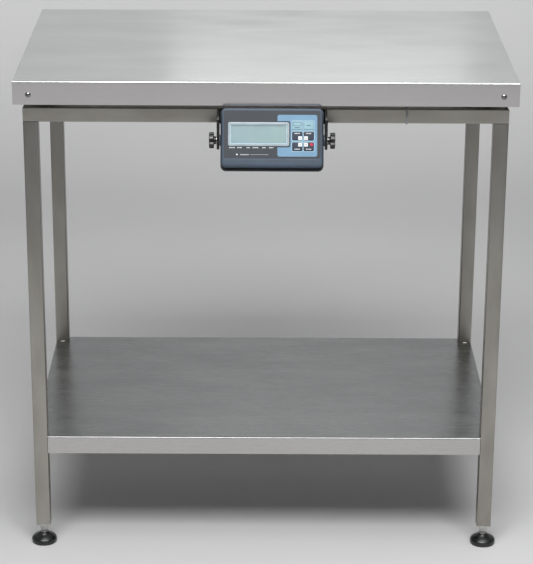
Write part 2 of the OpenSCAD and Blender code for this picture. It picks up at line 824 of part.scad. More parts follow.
module pivot_washers() {
    color("#7c8794") on_display() for (s = [0, 1]) mirror([s, 0, 0]) {
        translate([case_w / 2 + rear_grow + 0.1, 0, 0]) along_x(2) difference() {
            circle(11);
            circle(m6 + 0.3);
        }
    }
}

module lead_gland() {
    color("#1d1e1f") on_display() translate([0, back_out, gland_v]) mirror([0, 1, 0])
        gland(lead_d / 2);
}

module charger_socket() {
    color("#1d1e1f") on_display() translate([socket_x, back_out, gland_v]) difference() {
        union() {
            translate([0, -9, 0]) along_y(9) circle(4.5);
            along_y(2) circle(6);
        }
        translate([0, -7, 0]) along_y(9 + e) circle(2.8);
    }
}

// One key: a cap that stands proud of the overlay, and a plunger behind it
module key(i) {
    x = key_xs[i % 2];
    v = key_vs[floor(i / 2)];
    color(i < 2 ? "#a8cdd6" : "#2c3a50") on_display() {
        face_plate(x, v, key_w, key_h, 2, -face_out - key_proud, -face_out + 1.2);
        face_plate(x, v, 6, 6, 1, -face_out + 1.2, board_y - 1 - key_travel);
    }
}

// ---------------------------------------------------------------- clamp knobs

// A lobed hand knob on a threaded stud, pointing away from the display's middle along +X
module knob() {
    lobes = 6;
    hub_l = 4.5;
    rim_l = 9.5;
    translate([knob_in, 0, 0]) {
        difference() {
            union() {
                along_x(hub_l) circle(8);
                translate([hub_l, 0, 0]) along_x(rim_l) difference() {
                    circle(knob_r);
                    for (i = [0 : lobes - 1]) {
                        rotate(360 * (i + 0.5) / lobes) translate([knob_r + 4, 0]) circle(7.5);
                    }
                }
            }
            translate([-e, 0, 0]) along_x(hub_l + 4 + e) circle(m6);
            translate([hub_l + rim_l - 1.5, 0, 0]) along_x(1.5 + e) circle(6);
        }
    }
    stud_in = case_w / 2 - 8;
    translate([stud_in, 0, 0]) along_x(knob_in + hub_l + 4 - stud_in) circle(m6);
}

module clamp_washer() {
    translate([arm_in + arm_t + 0.1, 0, 0]) along_x(1) difference() {
        circle(8.5);
        circle(m6 + fit);
    }
}

module knob_left() {
    color("#161718") at_axis() mirror([1, 0, 0]) knob();
}
module knob_right() {
    color("#161718") at_axis() knob();
}
module clamp_washer_left() {
    color("#b9bbbd") at_axis() mirror([1, 0, 0]) clamp_washer();
}
module clamp_washer_right() {
    color("#b9bbbd") at_axis() clamp_washer();
}

// ---------------------------------------------------------------- levelling feet

// Threaded stem with a hexagon under the leg and a neck that ends in the pad
module foot_stem(x, y) {
    hex_z = leg_z - stem_gap - hex_h;
    color("#b6b8ba") translate([x, mid_y + y, 0]) {
        translate([0, 0, leg_z - stem_gap]) cylinder(r = m10, h = insert_h + foot_travel);
        translate([0, 0, hex_z]) cylinder(r = 10, h = hex_h, $fn = 6);
        translate([0, 0, pad_h]) cylinder(r1 = neck_r, r2 = 8.4, h = hex_z - pad_h);
        translate([0, 0, pad_h - 8]) cylinder(r = neck_r, h = 8);
    }
}

// Bell-shaped pad, hollow for the stem's lower end
module foot_pad(x, y) {
    pad_r = 26.5;
    color("#141516") translate([x, mid_y + y, 0]) rotate_extrude() difference() {
        union() {
            translate([0, 3]) square([pad_r - 5, 12]);
            translate([pad_r - 8, 8]) circle(8);
            polygon([[0, 0], [pad_r - 6, 0], [pad_r - 2.5, 3], [pad_r - 1.8, 13], [pad_r - 5, 17],
                [11, pad_h - 2], [9, pad_h], [0, pad_h]]);
        }
        translate([0, pad_h - 8]) square([neck_r + fit, 9]);
        translate([-pad_r, -e]) square([pad_r, 40]);
    }
}

// ---------------------------------------------------------------- what is drawn

leg(-leg_x, -leg_y);  // leg_front_left
leg(leg_x, -leg_y);  // leg_front_right
leg(-leg_x, leg_y);  // leg_rear_left
leg(leg_x, leg_y);  // leg_rear_right
rail_front();
rail_long(0);  // rail_rear
side_rails();
leg_inserts();
shelf_pan();
shelf_stiffeners();
cell_brackets();
load_cells();
frame_bolts();
junction_box();
junction_lid();
junction_glands();
cell_leads();
display_lead();
lead_loop();
cable_tie();
display_bracket();
weighing_pan();
weigh_side_tubes();
weigh_cross_tubes();
corner_plates();
end_plugs();
pan_screws();
load_feet();
front_cover();
rear_case();
case_gasket();
front_overlay();
lcd_bezel();
lcd_window();
lcd_module();
main_board();
battery();
case_screws();
pivot_inserts();
lead_gland();
charger_socket();
pivot_washers();
key(0);  // key_1
key(1);  // key_2
key(2);  // key_3
key(3);  // key_4
key(4);  // key_5
key(5);  // key_6
knob_left();
knob_right();
clamp_washer_left();
clamp_washer_right();
foot_stem(-leg_x, -leg_y);  // foot_stem_front_left
foot_stem(leg_x, -leg_y);  // foot_stem_front_right
foot_stem(-leg_x, leg_y);  // foot_stem_rear_left
foot_stem(leg_x, leg_y);  // foot_stem_rear_right
foot_pad(-leg_x, -leg_y);  // foot_pad_front_left
foot_pad(leg_x, -leg_y);  // foot_pad_front_right
foot_pad(-leg_x, leg_y);  // foot_pad_rear_left
foot_pad(leg_x, leg_y);  // foot_pad_rear_right
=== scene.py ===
"""A stainless steel veterinary table scale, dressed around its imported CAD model.

Places come from the frame: the display has its own measures, millimetres right of, above and in
front of its tilt axis, and everything else is placed from the boxes of the CAD nodes.
"""
import json
import math

import bmesh
import bpy
from mathutils import Matrix, Vector

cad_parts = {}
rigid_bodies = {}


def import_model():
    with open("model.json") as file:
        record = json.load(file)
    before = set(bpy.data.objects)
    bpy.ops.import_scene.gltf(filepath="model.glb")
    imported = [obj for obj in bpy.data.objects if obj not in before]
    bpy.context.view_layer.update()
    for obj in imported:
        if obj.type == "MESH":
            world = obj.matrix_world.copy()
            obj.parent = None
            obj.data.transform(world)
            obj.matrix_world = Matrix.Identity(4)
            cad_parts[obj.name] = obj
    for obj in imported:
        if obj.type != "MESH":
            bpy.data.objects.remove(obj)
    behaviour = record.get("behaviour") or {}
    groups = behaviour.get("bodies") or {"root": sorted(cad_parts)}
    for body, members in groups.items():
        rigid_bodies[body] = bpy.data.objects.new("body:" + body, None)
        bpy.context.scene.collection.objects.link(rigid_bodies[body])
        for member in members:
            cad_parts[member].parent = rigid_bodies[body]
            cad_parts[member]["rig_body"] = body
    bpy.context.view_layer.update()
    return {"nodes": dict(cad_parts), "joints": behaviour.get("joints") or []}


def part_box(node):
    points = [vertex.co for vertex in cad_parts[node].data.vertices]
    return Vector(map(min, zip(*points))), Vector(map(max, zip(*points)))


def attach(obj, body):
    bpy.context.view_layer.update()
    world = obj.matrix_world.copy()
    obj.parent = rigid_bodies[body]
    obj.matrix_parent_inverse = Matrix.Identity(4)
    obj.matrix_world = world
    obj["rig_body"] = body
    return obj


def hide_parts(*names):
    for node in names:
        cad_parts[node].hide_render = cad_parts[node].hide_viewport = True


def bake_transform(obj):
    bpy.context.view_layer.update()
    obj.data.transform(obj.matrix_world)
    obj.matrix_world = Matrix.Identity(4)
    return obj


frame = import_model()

MM = 0.001
FEET = ("front_left", "front_right", "rear_left", "rear_right")
JOINTS = {j["name"]: j for j in frame["joints"]}


# ------------------------------------------------------------------ camera, light and floor

def srgb(r, g, b):
    """A colour given as it looks on a screen, 0 to 255, in the linear measures of a shader."""
    def linear(c):
        c /= 255
        return c / 12.92 if c <= 0.04045 else ((c + 0.055) / 1.055) ** 2.4
    return (linear(r), linear(g), linear(b), 1.0)


def make_camera():
    """The viewpoint: high in front of the table, looking down at it through a long lens."""
    place = Vector((-0.0174, -4.4289, 2.1185))
    yaw, pitch, roll = 0.28, 20.02, 0.35
    data = bpy.data.cameras.new("camera")
    data.lens = 138.8
    data.sensor_width = 36
    data.clip_end = 60
    camera = bpy.data.objects.new("camera", data)
    turn = (Matrix.Rotation(math.radians(-yaw), 4, "Z")
            @ Matrix.Rotation(math.radians(90 - pitch), 4, "X")
            @ Matrix.Rotation(math.radians(roll), 4, "Z"))
    camera.matrix_world = Matrix.Translation(place) @ turn
    bpy.context.scene.collection.objects.link(camera)
    bpy.context.scene.camera = camera


def softbox(name, place, aim, size, watts, spread=180):
    """A rectangular soft light at place, facing aim, whose light spreads over so many degrees."""
    data = bpy.data.lights.new(name, "AREA")
    data.shape = "RECTANGLE"
    data.size, data.size_y = size
    data.energy = watts
    data.spread = math.radians(spread)
    light = bpy.data.objects.new(name, data)
    light.location = place
    light.rotation_euler = (Vector(aim) - Vector(place)).to_track_quat("-Z", "Y").to_euler()
    bpy.context.scene.collection.objects.link(light)


def make_lights():
    """Soft light from above and in front, and a washed wall behind for the steel to mirror."""
    world = bpy.data.worlds.new("world")
    bpy.context.scene.world = world
    world.use_nodes = True
    background = world.node_tree.nodes["Background"]
    background.inputs["Color"].default_value = srgb(214, 215, 216)
    background.inputs["Strength"].default_value = 0.22
    softbox("overhead", (0.2, -0.7, 3.5), (0.0, -0.5, 0), (3.0, 1.6), 46)
    softbox("front_top", (0.0, -2.9, 4.3), (0, -1.7, 0), (4.2, 1.6), 140, 150)
    softbox("wall_wash", (0.0, 2.3, 4.4), (0, 3.6, 2.3), (6.0, 0.5), 42, 70)
    softbox("back_panel", (0.20, 2.9, 2.35), (0.15, 0, 1.02), (1.05, 1.15), 1.7)


def make_studio():
    """A pale floor that sweeps up into a wall behind the table."""
    half_width, front, back, height, bend = 16.0, -18.0, 3.6, 4.6, 1.4
    steps = 24
    line = [(front, 0.0)]
    for i in range(steps + 1):
        a = math.radians(90 * i / steps)
        line.append((back - bend + bend * math.sin(a), bend * (1 - math.cos(a))))
    line.append((back, height))
    verts = [(x, y, z) for y, z in line for x in (-half_width, half_width)]
    faces = [(2 * i, 2 * i + 1, 2 * i + 3, 2 * i + 2) for i in range(len(line) - 1)]
    mesh = bpy.data.meshes.new("studio")
    mesh.from_pydata(verts, [], faces)
    mesh.shade_smooth()
    studio = bpy.data.objects.new("studio", mesh)
    bpy.context.scene.collection.objects.link(studio)
    mesh.materials.append(studio_paper())


# ------------------------------------------------------------------ materials

class Finish:
    """A material being made: its shader, and short ways to add and join nodes."""

    def __init__(self, name, **sockets):
        self.material = bpy.data.materials.new(name)
        self.material.use_nodes = True
        self.tree = self.material.node_tree
        self.shader = self.tree.nodes["Principled BSDF"]
        for socket, value in sockets.items():
            self.shader.inputs[socket.replace("_", " ")].default_value = value
        self.place = self.tree.nodes.new("ShaderNodeTexCoord").outputs["Object"]

    def scaled(self, per_metre):
        """Coordinates that run the given number of units per metre along each axis."""
        node = self.tree.nodes.new("ShaderNodeMapping")
        node.inputs["Scale"].default_value = per_metre
        self.tree.links.new(self.place, node.inputs["Vector"])
        return node.outputs["Vector"]

    def noise(self, per_metre, detail=3.0, rough=0.5):
        node = self.tree.nodes.new("ShaderNodeTexNoise")
        node.inputs["Scale"].default_value = 1.0
        node.inputs["Detail"].default_value = detail
        node.inputs["Roughness"].default_value = rough
        self.tree.links.new(self.scaled(per_metre), node.inputs["Vector"])
        return node.outputs["Fac"]

    def spread(self, value, low, high, start=0.3, stop=0.7):
        """A noise's middle range, stretched to run from low to high."""
        node = self.tree.nodes.new("ShaderNodeMapRange")
        node.inputs["From Min"].default_value = start
        node.inputs["From Max"].default_value = stop
        node.inputs["To Min"].default_value = low
        node.inputs["To Max"].default_value = high
        self.tree.links.new(value, node.inputs["Value"])
        return node.outputs["Result"]

    def facing(self, axis):
        """One axis of the surface's Normal, on the world's axes."""
        geometry = self.tree.nodes.new("ShaderNodeNewGeometry")
        split = self.tree.nodes.new("ShaderNodeSeparateXYZ")
        self.tree.links.new(geometry.outputs["Normal"], split.inputs["Vector"])
        return split.outputs[axis]

    def height_along(self, axis):
        """One axis of the object's own coordinates, in metres."""
        split = self.tree.nodes.new("ShaderNodeSeparateXYZ")
        self.tree.links.new(self.place, split.inputs["Vector"])
        return split.outputs[axis]

    def add(self, a, b):
        node = self.tree.nodes.new("ShaderNodeMath")
        node.operation = "ADD"
        self.tree.links.new(a, node.inputs[0])
        self.tree.links.new(b, node.inputs[1])
        return node.outputs["Value"]

    def between(self, factor, first, second):
        """A colour between two, by a factor from 0 to 1."""
        node = self.tree.nodes.new("ShaderNodeMix")
        node.data_type = "RGBA"
        for colour, socket in ((first, node.inputs["A"]), (second, node.inputs["B"])):
            if isinstance(colour, bpy.types.NodeSocket):
                self.tree.links.new(colour, socket)
            else:
                socket.default_value = colour
        self.tree.links.new(factor, node.inputs["Factor"])
        return node.outputs["Result"]

    def bump(self, height, depth, strength=1.0, before=None):
        node = self.tree.nodes.new("ShaderNodeBump")
        node.inputs["Distance"].default_value = depth
        node.inputs["Strength"].default_value = strength
        self.tree.links.new(height, node.inputs["Height"])
        if before:
            self.tree.links.new(before, node.inputs["Normal"])
        self.tree.links.new(node.outputs["Normal"], self.shader.inputs["Normal"])
        return node.outputs["Normal"]

    def into(self, value, socket):
        self.tree.links.new(value, self.shader.inputs[socket])


def along(axis, fine, long):
    """Units per metre for a grain along one axis: long strokes that are fine across it."""
    return tuple(long if a == axis else fine for a in "XYZ")


def steel(name, dark, light, rough, axis, depth=0.00001, shade=None, upright_painted_light=None):
    """Satin stainless sheet or tube: grain along one axis, cloudy wipe marks, a slight tint drift.

    shade is (low, high, strength): painted shade, a grey darkening that grows from one height to another,
    in metres.
    upright is painted light: a lighter tone of its own for the faces that stand up, as if they were lit
    more from the front than the top.
    """
    f = Finish(name, Metallic=1.0)
    grain = f.noise(along(axis, 1500, 14), 2, 0.6)
    clouds = f.noise(along(axis, 16, 5), 3)
    wipes = f.noise(along(axis, 60, 9), 2)
    tone = f.between(f.spread(clouds, 0, 1), dark, light)
    # painted light: faces that stand up take a lighter tone of their own
    if upright_painted_light:
        level = f.facing("Z")
        tone = f.between(f.spread(level, 0, 1, 0.3, 0.8), upright_painted_light, tone)
    # painted shade: the tone darkens towards grey from the low height to the high one
    if shade:
        low, high, strength = shade
        height = f.height_along("Z")
        tone = f.between(f.spread(height, 0, strength, low, high), tone, srgb(70, 70, 70))
    f.into(tone, "Base Color")
    base = f.spread(clouds, rough - 0.03, rough + 0.03)
    f.into(f.add(f.add(base, f.spread(grain, -0.04, 0.04)), f.spread(wipes, -0.02, 0.02)), "Roughness")
    waves = f.bump(clouds, 0.0002, 0.06)
    f.bump(grain, depth, 0.6, waves)
    return f.material


def bright_steel(name, tone, rough):
    """Turned or plated steel: fine tool marks in every direction, slight stains."""
    f = Finish(name, Metallic=1.0)
    marks = f.noise((900, 900, 2600), 2)
    stains = f.noise((70, 70, 70), 3)
    f.into(f.between(f.spread(stains, 0, 1), srgb(*[c * 0.86 for c in tone]), srgb(*tone)), "Base Color")
    f.into(f.spread(marks, rough - 0.05, rough + 0.08), "Roughness")
    f.bump(marks, 0.00002, 0.5)
    return f.material


def plastic(name, tone, rough, texture_mm=0.35, depth=0.00003, coat=0.0):
    """Moulded plastic: a fine pebbled texture, with wear that lightens it here and there."""
    f = Finish(name, Coat_Weight=coat, Coat_Roughness=0.12)
    pebbles = f.noise((1 / (texture_mm * MM),) * 3, 1)
    wear = f.noise((35, 35, 35), 4)
    worn = srgb(*[min(255, c * 1.10 + 3) for c in tone])
    f.into(f.between(f.spread(wear, 0, 1, 0.35, 0.75), srgb(*tone), worn), "Base Color")
    f.into(f.add(f.spread(wear, rough - 0.05, rough + 0.05), f.spread(pebbles, -0.03, 0.03)), "Roughness")
    f.bump(pebbles, depth, 0.7)
    return f.material


def rubber(name, tone, rough):
    """Moulded rubber: soft gloss, dust in faint clouds."""
    f = Finish(name)
    f.shader.inputs["Specular IOR Level"].default_value = 0.6
    dust = f.noise((90, 90, 60), 4)
    skin = f.noise((2200, 2200, 2200), 1)
    dusty = srgb(*[c + 26 for c in tone])
    f.into(f.between(f.spread(dust, 0, 1, 0.45, 0.8), srgb(*tone), dusty), "Base Color")
    f.into(f.spread(dust, rough - 0.04, rough + 0.14), "Roughness")
    f.bump(skin, 0.00002, 0.4)
    return f.material


def film(name, tone, rough=0.34):
    """Printed polyester film: a fine matt texture, and hardly any change of colour."""
    f = Finish(name)
    texture = f.noise((4200, 4200, 4200), 1)
    drift = f.noise((30, 30, 30), 2)
    lighter = srgb(*[min(255, c * 1.05) for c in tone])
    f.into(f.between(f.spread(drift, 0, 1), srgb(*tone), lighter), "Base Color")
    f.into(f.spread(texture, rough - 0.06, rough + 0.06), "Roughness")
    f.bump(texture, 0.00001, 0.5)
    return f.material


def liquid_crystal():
    """The display's panel, unlit: pale teal, a little greener towards its ends."""
    f = Finish("liquid_crystal")
    f.shader.inputs["Specular IOR Level"].default_value = 0.3
    drift = f.noise((14, 10, 10), 1)
    f.into(f.between(f.spread(drift, 0, 1), srgb(128, 160, 169), srgb(136, 168, 162)), "Base Color")
    speckle = f.noise((6000, 6000, 6000), 1)
    f.into(f.spread(speckle, 0.3, 0.45), "Roughness")
    return f.material


def clear_window():
    """Thin clear plastic over the glass, faintly smeared."""
    f = Finish("clear_window", Roughness=0.06, Alpha=0.16)
    smears = f.noise((60, 60, 60), 3)
    f.into(f.between(f.spread(smears, 0, 1), srgb(205, 222, 226), srgb(225, 236, 238)), "Base Color")
    return f.material


def solder_mask():
    """A circuit board's green lacquer, lighter over its tracks."""
    f = Finish("solder_mask", Roughness=0.4)
    tracks = f.noise((420, 420, 420), 0)
    f.into(f.between(f.spread(tracks, 0, 1, 0.48, 0.52), srgb(26, 82, 48), srgb(38, 104, 62)), "Base Color")
    return f.material


def studio_paper():
    """Pale paper, seen only from the object's side, so that it hides nothing from behind or below."""
    f = Finish("studio_paper", Roughness=0.9)
    f.shader.inputs["Specular IOR Level"].default_value = 0.2
    mottle = f.noise((0.8, 0.8, 0.8), 3)
    f.into(f.between(f.spread(mottle, 0, 1), srgb(206, 206, 207), srgb(212, 212, 212)), "Base Color")
    facing = f.tree.nodes.new("ShaderNodeNewGeometry").outputs["Backfacing"]
    clear = f.tree.nodes.new("ShaderNodeBsdfTransparent").outputs[0]
    mix = f.tree.nodes.new("ShaderNodeMixShader")
    f.tree.links.new(facing, mix.inputs[0])
    f.tree.links.new(f.shader.outputs[0], mix.inputs[1])
    f.tree.links.new(clear, mix.inputs[2])
    output = f.tree.nodes["Material Output"]
    f.tree.links.new(mix.outputs[0], output.inputs["Surface"])
    return f.material


def make_materials():
    warm_dark, warm_light = srgb(150, 147, 140), srgb(176, 173, 166)
    pan_dark, pan_light = srgb(194, 199, 196), srgb(208, 212, 210)
    shelf_dark, shelf_light = srgb(128, 130, 130), srgb(139, 141, 141)
    return {
        "tube_x": steel("tube_steel_x", warm_dark, warm_light, 0.34, "X"),
        "tube_y": steel("tube_steel_y", warm_dark, warm_light, 0.34, "Y"),
        # painted shade: the legs darken towards their tops, where the pan shades them
        "tube_z": steel("tube_steel_z", warm_dark, warm_light, 0.36, "Z", shade=(0.30, 0.95, 0.42)),
        # painted light: the pan's skirt and the shelf's front get lighter upright tones
        "pan": steel("pan_steel", pan_dark, pan_light, 0.20, "X", upright_painted_light=srgb(212, 209, 209)),
        "shelf": steel("shelf_steel", shelf_dark, shelf_light, 0.27, "X", upright_painted_light=srgb(190, 188, 187)),
        "bright": bright_steel("bright_steel", (205, 205, 203), 0.28),
        "screw": bright_steel("screw_steel", (146, 148, 149), 0.24),
        "cell": bright_steel("cell_alloy", (206, 208, 211), 0.34),
        "weld": bright_steel("weld_metal", (188, 184, 176), 0.42),
        "brass": bright_steel("insert_brass", (196, 160, 98), 0.3),
        "box": plastic("box_plastic", (196, 199, 201), 0.5),
        "black": plastic("black_plastic", (30, 31, 32), 0.48),
        "bracket": plastic("bracket_coat", (18, 19, 19), 0.4, 0.6),
        "knob": plastic("knob_plastic", (13, 14, 15), 0.3, coat=0.2),
        "tie": plastic("tie_nylon", (138, 140, 141), 0.4),
        "case": plastic("case_plastic", (60, 73, 88), 0.5, 0.5),
        "lip": plastic("lip_plastic", (116, 122, 116), 0.45),
        "rear": plastic("rear_plastic", (56, 60, 60), 0.5, 0.5),
        "washer": plastic("washer_nylon", (118, 132, 148), 0.35),
        "battery": plastic("battery_wrap", (62, 66, 74), 0.4),
        "bezel": plastic("bezel_plastic", (158, 170, 178), 0.3, 0.3, 0.00001),
        "overlay": film("overlay_film", (50, 56, 63), 0.5),
        "panel": film("panel_print", (112, 150, 178), 0.5),
        "frame_print": film("frame_print", (178, 204, 214)),
        "white_print": film("white_print", (226, 229, 230)),
        "red_print": film("red_print", (196, 44, 66)),
        "key_light": film("key_light", (140, 176, 188), 0.45),
        "key_dark": film("key_dark", (38, 48, 66), 0.45),
        "gasket": rubber("gasket_rubber", (20, 21, 23), 0.5),
        "lead": rubber("lead_rubber", (34, 35, 37), 0.45),
        "pad": rubber("pad_rubber", (20, 21, 22), 0.26),
        "lcd": liquid_crystal(),
        "window": clear_window(),
        "board": solder_mask(),
    }


def dress(node, material):
    """Gives a CAD node its material."""
    mesh = frame["nodes"][node].data
    mesh.materials.clear()
    mesh.materials.append(material)


def dress_nodes(m):
    looks = {
        "tube_x": ("rail_front", "rail_rear", "weigh_cross_tubes"),
        "tube_y": ("side_rails", "weigh_side_tubes", "cell_brackets", "corner_plates"),
        "tube_z": tuple("leg_" + f for f in FEET),
        "pan": ("weighing_pan",),
        "shelf": ("shelf_pan", "shelf_stiffeners"),
        "bright": ("leg_inserts", "frame_bolts", "end_plugs", "load_feet", "case_screws",
                   "clamp_washer_left", "clamp_washer_right") + tuple("foot_stem_" + f for f in FEET),
        "screw": ("pan_screws",),
        "cell": ("load_cells",),
        "box": ("junction_box", "junction_lid"),
        "black": ("junction_glands", "lead_gland", "charger_socket"),
        "bracket": ("display_bracket",),
        "lead": ("cell_leads", "display_lead", "lead_loop"),
        "tie": ("cable_tie",),
        "case": ("front_cover",),
        "rear": ("rear_case",),
        "gasket": ("case_gasket",),
        "overlay": ("front_overlay",),
        "bezel": ("lcd_bezel",),
        "window": ("lcd_window",),
        "lcd": ("lcd_module",),
        "board": ("main_board",),
        "battery": ("battery",),
        "brass": ("pivot_inserts",),
        "washer": ("pivot_washers",),
        "knob": ("knob_left", "knob_right"),
        "key_light": ("key_1", "key_2"),
        "key_dark": ("key_3", "key_4", "key_5", "key_6"),
        "pad": tuple("foot_pad_" + f for f in FEET),
    }
    for look, nodes in looks.items():
        for node in nodes:
            dress(node, m[look])


# ------------------------------------------------------------------ making pieces

def new_object(name, mesh, material, body, smooth=35):
    """Names a finished mesh, gives it its material, and rides it on a body."""
    mesh.materials.clear()
    mesh.materials.append(material)
    mesh.shade_smooth()
    mesh.set_sharp_from_angle(angle=math.radians(smooth))
    piece = bpy.data.objects.new(name, mesh)
    bpy.context.scene.collection.objects.link(piece)
    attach(piece, body)
    return piece


def tidy_mesh(mesh, merge=1e-6):
    """Joins doubled points and turns every face outwards."""
    bm = bmesh.new()
    bm.from_mesh(mesh)
    bmesh.ops.remove_doubles(bm, verts=bm.verts, dist=merge)
    bmesh.ops.recalc_face_normals(bm, faces=bm.faces)
    bm.to_mesh(mesh)
    bm.free()
    return mesh


def final_mesh(shape):
    """The mesh a shape has once its modifiers are applied; the shape itself is removed."""
    seen = shape.evaluated_get(bpy.context.evaluated_depsgraph_get())
    mesh = bpy.data.meshes.new_from_object(seen)
    bpy.data.objects.remove(shape)
    return mesh


def scratch_object(name, data):
    """An object that is only there until its final mesh is taken."""
    shape = bpy.data.objects.new(name, data)
    bpy.context.scene.collection.objects.link(shape)
    return shape


def mesh_from(name, *skins):
    """One mesh from several (points, faces) skins."""
    points, faces = [], []
    for more_points, more_faces in skins:
        start = len(points)
        points += more_points
        faces += [tuple(start + i for i in face) for face in more_faces]
    mesh = bpy.data.meshes.new(name)
    mesh.from_pydata(points, [], faces)
    return tidy_mesh(mesh)


def loft(rings):
    """A closed skin through rings of points, with flat ends."""
    n = len(rings[0])
    faces = [(i * n + j, i * n + (j + 1) % n, (i + 1) * n + (j + 1) % n, (i + 1) * n + j)
             for i in range(len(rings) - 1) for j in range(n)]
    last = (len(rings) - 1) * n
    faces += [tuple(reversed(range(n))), tuple(range(last, last + n))]
    return [p for ring in rings for p in ring], faces


def lathe(profile, place, sides=64):
    """A skin turned from (radius, height) points in millimetres about the third axis of place."""
    def ring(radius, height):
        return [place @ (MM * Vector((radius * math.cos(a), radius * math.sin(a), height)))
                for a in (2 * math.pi * i / sides for i in range(sides))]
    return loft([ring(r, h) for r, h in profile])


def thread(radius, pitch, start, stop, place, sides=20, steps=6):
    """A rod with a helical thread about the third axis of place, in millimetres."""
    depth = 0.55 * pitch
    rings = []
    count = int((stop - start) / pitch * steps)
    for k in range(count + 1):
        height = start + (stop - start) * k / count
        ring = []
        for i in range(sides):
            phase = (height / pitch - i / sides) % 1
            r = radius - depth * abs(2 * phase - 1)
            a = 2 * math.pi * i / sides
            ring.append(place @ (MM * Vector((r * math.cos(a), r * math.sin(a), height))))
        rings.append(ring)
    return loft(rings)


def curve_through(a, b, c, d, steps=8):
    """Points on the cubic curve from a to d that leaves towards b and arrives from c."""
    points = []
    for i in range(1, steps + 1):
        t = i / steps
        w = ((1 - t) ** 3, 3 * (1 - t) ** 2 * t, 3 * (1 - t) * t * t, t ** 3)
        points.append(tuple(sum(k * q[axis] for k, q in zip(w, (a, b, c, d))) for axis in (0, 1)))
    return points


def rounded(corners, steps=6):
    """An outline through (x, y, radius) corners, each rounded by its radius."""
    outline = []
    for i, (x, y, r) in enumerate(corners):
        here = Vector((x, y))
        before = (Vector(corners[i - 1][:2]) - here).normalized()
        after = (Vector(corners[(i + 1) % len(corners)][:2]) - here).normalized()
        if r <= 0:
            outline.append((x, y))
            continue
        half = before.angle(after) / 2
        reach = r / math.tan(half)
        middle = here + (before + after).normalized() * (r / math.sin(half))
        first = here + before * reach - middle
        last = here + after * reach - middle
        sweep = first.angle_signed(last)
        for k in range(steps + 1):
            turn = Matrix.Rotation(-sweep * k / steps, 2)
            outline.append(tuple(middle + turn @ first))
    return outline


def box_outline(low, high, r, grow=0.0):
    """A rectangle with round corners, from its low to its high corner, grown by a margin."""
    x0, y0, x1, y1 = low[0] - grow, low[1] - grow, high[0] + grow, high[1] + grow
    return rounded([(x0, y0, r), (x1, y0, r), (x1, y1, r), (x0, y1, r)])


def circle_outline(x, y, r, steps=28):
    """A round outline about (x, y)."""
    return [(x + r * math.cos(2 * math.pi * i / steps), y + r * math.sin(2 * math.pi * i / steps))
            for i in range(steps)]


def plate(name, outlines, back, front, place, edge=0.0):
    """A flat mesh filled between outlines, from back to front along place's third axis.

    Everything but place is in millimetres; edge is how far the front and back edges are rounded.
    """
    curve = bpy.data.curves.new(name, "CURVE")
    curve.dimensions = "2D"
    curve.fill_mode = "BOTH"
    curve.extrude = (front - back) / 2 - edge
    curve.bevel_depth = edge
    curve.offset = -edge
    curve.bevel_resolution = 2
    for outline in outlines:
        spline = curve.splines.new("POLY")
        spline.points.add(len(outline) - 1)
        for point, (x, y) in zip(spline.points, outline):
            point.co = (x, y, 0, 1)
        spline.use_cyclic_u = True
    mesh = final_mesh(scratch_object(name, curve))
    mesh.transform(Matrix.Translation((0, 0, (front + back) / 2)))
    mesh.transform(place @ Matrix.Scale(MM, 4))
    mesh.name = name
    return tidy_mesh(mesh, 2e-6)


def softened(node, edge_mm, material, angle=40):
    """A copy of a CAD node with its sharp edges rounded, which stands for it."""
    source = frame["nodes"][node]
    mesh = source.data.copy()
    bm = bmesh.new()
    bm.from_mesh(mesh)
    bmesh.ops.remove_doubles(bm, verts=bm.verts, dist=2e-6)
    bmesh.ops.dissolve_limit(bm, angle_limit=math.radians(1), verts=bm.verts, edges=bm.edges)
    bm.to_mesh(mesh)
    bm.free()
    shape = scratch_object(node + "_shape", mesh)
    bevel = shape.modifiers.new("edges", "BEVEL")
    bevel.width = edge_mm * MM
    bevel.segments = 2
    bevel.limit_method = "ANGLE"
    bevel.angle_limit = math.radians(angle)
    mesh = tidy_mesh(final_mesh(shape))
    piece = new_object(node + "_finished", mesh, material, source["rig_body"], 50)
    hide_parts(node)
    return piece


# ------------------------------------------------------------------ the display

AXIS = Vector(JOINTS["display_tilt"]["pos_m"])
INTO = Vector(JOINTS["key_1_press"]["axis"])
TURN = Matrix(((1, 0, 0), (0, -INTO.z, -INTO.y), (0, INTO.y, -INTO.z)))
FACE = Matrix.Translation(AXIS) @ TURN.to_4x4()
INK = 0.05                      # thickness of a print, in mm
SEAM_STEP = 3.0                 # how far the seam and the rear case stand below the cover, in mm


def on_face(node):
    """A display node's lowest and highest corner in millimetres: right, up and forward of the axis."""
    back = FACE.inverted()
    points = [back @ v.co / MM for v in frame["nodes"][node].data.vertices]
    return (Vector([min(p[i] for p in points) for i in range(3)]),
            Vector([max(p[i] for p in points) for i in range(3)]))


def face_plate(name, outlines, back, front, material, body="display", edge=0.0):
    """A flat piece in the display's own measures, riding on one of its bodies."""
    mesh = plate(name, outlines, back, front, FACE, edge)
    return new_object(name, mesh, material, body)


def cover_shell(low, high):
    """The front cover's outside: straight sides, then a quarter round into the face."""
    corner, edge, arc = 9.0, 4.0, 8
    levels = [(low.z, 0.0), (high.z - edge, 0.0)]
    for i in range(1, arc + 1):
        a = math.radians(90 * i / arc)
        levels.append((high.z - edge * (1 - math.sin(a)), -edge * (1 - math.cos(a))))
    rings = [[FACE @ (MM * Vector((x, y, z))) for x, y in box_outline(low, high, corner + grow, grow)]
             for z, grow in levels]
    return mesh_from("front_cover_shell", loft(rings))


